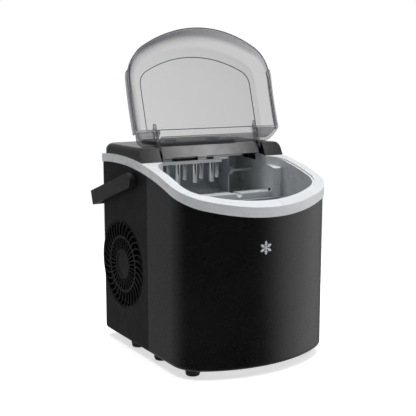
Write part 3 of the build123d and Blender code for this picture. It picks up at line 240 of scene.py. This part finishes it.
LOOKS = {
    "black_panel": plastic("satin_black_panel", (0.004, 0.004, 0.0045), (0.007, 0.007, 0.0075), (0.24, 0.30),
                           2200.0, 0.015),
    "black_shell": plastic("grained_black_shell", (0.007, 0.007, 0.008), (0.011, 0.011, 0.012), (0.50, 0.60),
                           1500.0, 0.35, specular=0.22),
    "cover_black": plastic("satin_cover", (0.008, 0.0075, 0.007), (0.012, 0.0115, 0.011), (0.16, 0.21),
                           2000.0, 0.03, specular=0.4),
    "white_ring": plastic("white_ring", (0.68, 0.70, 0.725), (0.73, 0.75, 0.77), (0.24, 0.34), 900.0, 0.03),
    "label": plastic("gloss_label", (0.006, 0.006, 0.007), (0.010, 0.010, 0.011), (0.06, 0.12), 700.0, 0.02),
    "button": plastic("button_black", (0.03, 0.03, 0.032), (0.045, 0.045, 0.047), (0.3, 0.4), 1200.0, 0.1),
    "handle": plastic("handle_grain", (0.016, 0.0165, 0.018), (0.021, 0.0215, 0.0235), (0.42, 0.52),
                      1600.0, 0.25, specular=0.35),
    "pivot": plastic("pivot_black", (0.02, 0.02, 0.02), (0.03, 0.03, 0.03), (0.4, 0.5)),
    "grille": plastic("grille_grain", (0.005, 0.005, 0.006), (0.009, 0.009, 0.010), (0.42, 0.52), 1600.0, 0.2,
                      specular=0.22),
    "shroud": plastic("shroud_black", (0.02, 0.02, 0.02), (0.03, 0.03, 0.03), (0.5, 0.6)),
    "fan_rotor": plastic("rotor_black", (0.02, 0.02, 0.02), (0.035, 0.035, 0.035), (0.35, 0.45)),
    "liner": plastic("liner_grey", (0.66, 0.69, 0.70), (0.74, 0.77, 0.78), (0.22, 0.34), 700.0, 0.06),
    "basket": plastic("basket_smoke", (0.40, 0.43, 0.46), (0.50, 0.53, 0.56), (0.15, 0.28), 700.0, 0.05),
    "tray": plastic("tray_grey", (0.50, 0.53, 0.55), (0.58, 0.61, 0.63), (0.2, 0.32), 700.0, 0.05),
    "shovel": plastic("shovel_grey", (0.42, 0.44, 0.47), (0.50, 0.52, 0.55), (0.25, 0.38), 700.0, 0.05),
    "bearing": plastic("bearing_white", (0.55, 0.55, 0.53), (0.65, 0.65, 0.62), (0.3, 0.4)),
    "sensor": plastic("sensor_dark", (0.01, 0.006, 0.012), (0.02, 0.012, 0.022), (0.08, 0.15), 500.0, 0.02),
    "hose": plastic("silicone_hose", (0.60, 0.60, 0.56), (0.72, 0.72, 0.68), (0.35, 0.5), 500.0, 0.05),
    "pump": plastic("pump_black", (0.03, 0.03, 0.03), (0.05, 0.05, 0.05), (0.4, 0.55)),
    "rubber": plastic("black_rubber", (0.012, 0.012, 0.012), (0.022, 0.022, 0.021), (0.6, 0.8), 900.0, 0.3),
    "cap": plastic("cap_black", (0.02, 0.02, 0.02), (0.035, 0.035, 0.035), (0.45, 0.55)),
    "fitting": plastic("fitting_grey", (0.20, 0.20, 0.20), (0.28, 0.28, 0.28), (0.4, 0.5)),
    "gland": plastic("gland_black", (0.018, 0.018, 0.018), (0.03, 0.03, 0.03), (0.45, 0.55)),
    "compressor": plastic("compressor_enamel", (0.008, 0.008, 0.009), (0.016, 0.016, 0.017), (0.18, 0.35),
                          260.0, 0.12),
    "motor": plastic("motor_can", (0.40, 0.40, 0.38), (0.50, 0.50, 0.48), (0.3, 0.45)),
    "fan_motor": plastic("fan_motor_can", (0.06, 0.06, 0.06), (0.10, 0.10, 0.10), (0.3, 0.45)),
    "clear_lid": smoky_lid(),
    "lens": glow_lens(),
    "board": circuit_board(),
    "foam": foam(),
    "pin": metal("pin_steel", (0.50, 0.50, 0.50), (0.66, 0.66, 0.65)),
    "zinc": metal("zinc_sheet", (0.42, 0.43, 0.44), (0.58, 0.59, 0.60), (0.35, 0.5), (1.0, 1.0, 1.0), 60.0),
    "evaporator": metal("nickel_plate", (0.70, 0.71, 0.72), (0.86, 0.86, 0.86), (0.05, 0.13),
                        (1.0, 1.0, 8.0)),
    "copper": metal("copper_tube", (0.62, 0.26, 0.13), (0.80, 0.42, 0.26), (0.2, 0.35), (1.0, 1.0, 1.0)),
    "valve": metal("valve_brass", (0.45, 0.33, 0.14), (0.62, 0.48, 0.24), (0.25, 0.4), (1.0, 1.0, 1.0)),
    "condenser": metal("fin_aluminium", (0.60, 0.61, 0.62), (0.75, 0.76, 0.77), (0.3, 0.45),
                       (1.0, 1.0, 12.0)),
}


def dress_frame():
    """Gives every CAD node the look of its record slot."""
    for part in frame["record"]["subparts"]:
        piece = NODES[part["node"]]
        look = LOOKS[part["material_slot"]]
        if not piece.material_slots:
            piece.data.materials.append(look)
        for entry in piece.material_slots:
            entry.material = look


# ------------------------------------------------------------ drawn details
def piece_from(name, verts, faces, material, body):
    mesh = bpy.data.meshes.new(name)
    mesh.from_pydata([tuple(v) for v in verts], [], faces)
    mesh.validate()
    form = bmesh.new()
    form.from_mesh(mesh)
    bmesh.ops.recalc_face_normals(form, faces=form.faces)
    form.to_mesh(mesh)
    form.free()
    mesh.materials.append(material)
    piece = bpy.data.objects.new(name, mesh)
    bpy.context.scene.collection.objects.link(piece)
    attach(piece, body)
    return piece


def bead(name, points, radius, material, body, closed):
    """A thin round bead along a line of points."""
    sides = 8
    verts, faces = [], []
    count = len(points)
    for n, point in enumerate(points):
        before = points[n - 1] if closed or n else point
        after = points[(n + 1) % count] if closed or n < count - 1 else point
        along = (after - before).normalized()
        across = along.cross(Vector((0, 1, 0.2))).normalized()
        up = across.cross(along)
        for k in range(sides):
            turn = 2 * math.pi * k / sides
            verts.append(point + radius * (math.cos(turn) * across + math.sin(turn) * up))
    for n in range(count if closed else count - 1):
        for k in range(sides):
            a, b = n * sides + k, n * sides + (k + 1) % sides
            c, d = ((n + 1) % count) * sides + (k + 1) % sides, ((n + 1) % count) * sides + k
            faces.append((a, b, c, d))
    if not closed:
        faces.append(tuple(range(sides)))
        faces.append(tuple((count - 1) * sides + k for k in range(sides)))
    piece = piece_from(name, verts, faces, material, body)
    piece.data.shade_smooth()
    return piece


def snowflake_strokes(size):
    """Six arms, each with two pairs of side branches, as (start, end) pairs in a plane."""
    strokes = []
    for n in range(6):
        turn = Matrix.Rotation(math.radians(60 * n + 30), 2)
        strokes.append((turn @ Vector((0.06 * size, 0)), turn @ Vector((size, 0))))
        for reach, branch in ((0.42, 0.26), (0.68, 0.22)):
            for side in (-1, 1):
                fork = Vector((reach * size, 0))
                tip = fork + Matrix.Rotation(side * math.radians(55), 2) @ Vector((branch * size, 0))
                strokes.append((turn @ fork, turn @ tip))
    return strokes


def stroke_piece(name, strokes, width, place, material, body):
    """Flat strokes laid on a surface: place(u, v, height) gives the point above the surface."""
    verts, faces = [], []
    steps = 4
    for start, end in strokes:
        along = (end - start).normalized()
        across = Vector((-along.y, along.x)) * width / 2
        base = len(verts)
        for n in range(steps + 1):
            middle = start.lerp(end, n / steps)
            for offset, height in ((-1, 0.0), (1, 0.0), (1, 1.0), (-1, 1.0)):
                spot = middle + offset * across
                verts.append(place(spot.x, spot.y, height))
        for n in range(steps):
            for k in range(4):
                a, b = base + 4 * n + k, base + 4 * n + (k + 1) % 4
                faces.append((a, b, b + 4, a + 4))
        faces.append((base, base + 1, base + 2, base + 3))
        last = base + 4 * steps
        faces.append((last, last + 1, last + 2, last + 3))
    return piece_from(name, verts, faces, material, body)


def front_mark():
    """Plain snowflake printed on the bulged front, where such machines carry a mark."""
    centre_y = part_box("front_panel")[0].y + BULGE_RADIUS

    def place(u, v, height):
        x = MARK_X + u
        y = centre_y - math.sqrt((BULGE_RADIUS + MARK_LIFT + MARK_DEPTH * height) ** 2 - x * x)
        return Vector((x, y, MARK_Z + v))

    strokes = snowflake_strokes(MARK_SIZE)
    stroke_piece("front_snowflake_mark", strokes, MARK_STROKE, place, MARK_WHITE, "base")


def button_mark(name, node, body, strokes):
    low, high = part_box(node)
    middle = (low + high) / 2

    def place(u, v, height):
        return Vector((middle.x + u, middle.y + v, high.z - SYMBOL_SINK + MARK_DEPTH * height))

    stroke_piece(name, strokes, SYMBOL_STROKE, place, MARK_WHITE, body)


def power_strokes():
    """Open ring with a bar at its top."""
    points = []
    for n in range(POWER_STEPS + 1):
        turn = math.pi / 2 + POWER_GAP + (2 * math.pi - 2 * POWER_GAP) * n / POWER_STEPS
        points.append(Vector((POWER_RING * math.cos(turn), POWER_RING * math.sin(turn))))
    strokes = list(zip(points, points[1:]))
    strokes.append((Vector((0, POWER_BAR[0])), Vector((0, POWER_BAR[1]))))
    return strokes


def button_marks():
    button_mark("power_symbol", "power_button", "power_button", power_strokes())
    button_mark("select_symbol", "select_button", "select_button", snowflake_strokes(SYMBOL_SIZE))


def plan_outline(inset, rear):
    """The body's outline seen from above, from its right rear corner round the front to the left one."""
    low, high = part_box("front_panel")
    bulge_y = low.y + BULGE_RADIUS
    corner_x = high.x - CORNER_RADIUS
    corner_y = bulge_y - math.sqrt((BULGE_RADIUS - CORNER_RADIUS) ** 2 - corner_x ** 2)
    turn = math.atan2(corner_y - bulge_y, corner_x)
    side = high.x - inset
    half = [(side, rear + (corner_y - rear) * n / 10) for n in range(10)]
    for n in range(13):
        angle = turn * n / 12
        half.append((corner_x + (CORNER_RADIUS - inset) * math.cos(angle),
                     corner_y + (CORNER_RADIUS - inset) * math.sin(angle)))
    bulge = BULGE_RADIUS - inset
    start = math.atan2(half[-1][1] - bulge_y, half[-1][0])
    for n in range(1, 21):
        angle = start + (-math.pi / 2 - start) * n / 20
        half.append((bulge * math.cos(angle), bulge_y + bulge * math.sin(angle)))
    return half + [(-x, y) for x, y in reversed(half[:-1])]


def swing_open(point):
    """From the closed lid's place to its open place."""
    hinge = Vector(next(j for j in frame["joints"] if j["name"] == "lid_hinge")["pos_m"])
    return Matrix.Rotation(LID_SWING, 3, "X") @ (point - hinge) + hinge


def lid_lines():
    """Denser beads of the lid's moulding: round its flat window and along its rim."""
    window = []
    for x, y in plan_outline(WINDOW_INSET, WINDOW_REAR):
        height = LID_CORNER_Z + WINDOW_LIFT + (y - LID_CORNER_Y) * LID_SLOPE
        window.append(swing_open(Vector((x, y, height))))
    bead("lid_window_bead", window, BEAD_RADIUS, LID_LINE, "lid", True)
    rim = []
    for x, y in plan_outline(RIM_INSET, LID_CORNER_Y - RIM_START):
        height = RIM_CENTRE_Z + math.sqrt(RIM_RADIUS ** 2 - (y - RIM_CENTRE_Y) ** 2)
        rim.append(swing_open(Vector((x, y, height + RIM_LIFT))))
    bead("lid_rim_bead", rim, BEAD_RADIUS, LID_LINE, "lid", False)


MARK_WHITE = plastic("mark_white", (0.72, 0.74, 0.76), (0.80, 0.82, 0.84), (0.35, 0.5), 900.0, 0.05)
LID_LINE = plastic("lid_line", (0.05, 0.05, 0.085), (0.075, 0.075, 0.115), (0.15, 0.3), 900.0, 0.03)


# ------------------------------------------------------------ surroundings
def floor():
    """Pale floor that fades out in a circle before its edge. It isn't seen in reflections."""
    mesh = bpy.data.meshes.new("floor")
    corners = [(-FLOOR_HALF, -FLOOR_HALF, 0), (FLOOR_HALF, -FLOOR_HALF, 0),
               (FLOOR_HALF, FLOOR_HALF, 0), (-FLOOR_HALF, FLOOR_HALF, 0)]
    mesh.from_pydata(corners, [], [(0, 1, 2, 3)])
    piece = bpy.data.objects.new("floor", mesh)
    bpy.context.scene.collection.objects.link(piece)
    material, tree, shader = new_material("floor_white")
    tone = noise(tree, 3.0, 3.0)
    colour = mix_colour(tree, tone, (0.90, 0.90, 0.90), (0.93, 0.93, 0.93))
    tree.links.new(colour, shader.inputs["Base Color"])
    shader.inputs["Roughness"].default_value = 0.55
    shader.inputs["Specular IOR Level"].default_value = 0.2
    shader.inputs["Emission Color"].default_value = (1.0, 1.0, 1.0, 1.0)
    shader.inputs["Emission Strength"].default_value = FLOOR_GLOW
    length = tree.nodes.new("ShaderNodeVectorMath")
    length.operation = "LENGTH"
    tree.links.new(coordinates(tree), length.inputs[0])
    tree.links.new(spread(tree, length.outputs["Value"], 1.0, 0.0, *FLOOR_FADE), shader.inputs["Alpha"])
    mesh.materials.append(material)
    piece.visible_glossy = False


def area_light(name, place, aim, size, power):
    data = bpy.data.lights.new(name, "AREA")
    data.shape = "RECTANGLE"
    data.size, data.size_y = size
    data.energy = power
    lamp = bpy.data.objects.new(name, data)
    bpy.context.scene.collection.objects.link(lamp)
    lamp.location = place
    direction = Vector(aim) - Vector(place)
    lamp.rotation_euler = direction.to_track_quat("-Z", "Y").to_euler()


def surroundings():
    """White to the eye; for lighting,
        a dim studio with a soft box to the right and darkness at the front left."""
    world = bpy.data.worlds.new("studio")
    bpy.context.scene.world = world
    world.use_nodes = True
    tree = world.node_tree
    sky = tree.nodes["Background"]
    room = world_lobe(tree, *ROOM_LOBE)
    softbox = world_lobe(tree, *SOFTBOX_LOBE)
    level = tree.nodes.new("ShaderNodeMath")
    tree.links.new(room, level.inputs[0])
    tree.links.new(softbox, level.inputs[1])
    seen = tree.nodes.new("ShaderNodeLightPath")
    pick = tree.nodes.new("ShaderNodeMix")
    tree.links.new(seen.outputs["Is Camera Ray"], pick.inputs[0])
    tree.links.new(level.outputs["Value"], pick.inputs[2])
    pick.inputs[3].default_value = 1.0
    tree.links.new(pick.outputs[0], sky.inputs["Strength"])
    sky.inputs["Color"].default_value = (1, 1, 1, 1)
    for lamp in LAMPS:
        area_light(*lamp)


def world_lobe(tree, toward, reach, strength):
    """World brightness that changes between two values with the angle from a direction."""
    side = tree.nodes.new("ShaderNodeVectorMath")
    side.operation = "DOT_PRODUCT"
    side.inputs[1].default_value = toward
    tree.links.new(tree.nodes.new("ShaderNodeTexCoord").outputs["Generated"], side.inputs[0])
    return spread(tree, side.outputs["Value"], strength[0], strength[1], reach[0], reach[1])


def camera():
    data = bpy.data.cameras.new("camera")
    data.sensor_width = CAMERA_SENSOR
    data.lens = CAMERA_LENS
    piece = bpy.data.objects.new("camera", data)
    bpy.context.scene.collection.objects.link(piece)
    piece.location = CAMERA_PLACE
    piece.rotation_euler = (CAMERA_AIM - CAMERA_PLACE).to_track_quat("-Z", "Y").to_euler()
    bpy.context.scene.camera = piece


dress_frame()
front_mark()
button_marks()
lid_lines()
floor()
surroundings()
camera()
bpy.context.scene.view_settings.view_transform = "Standard"
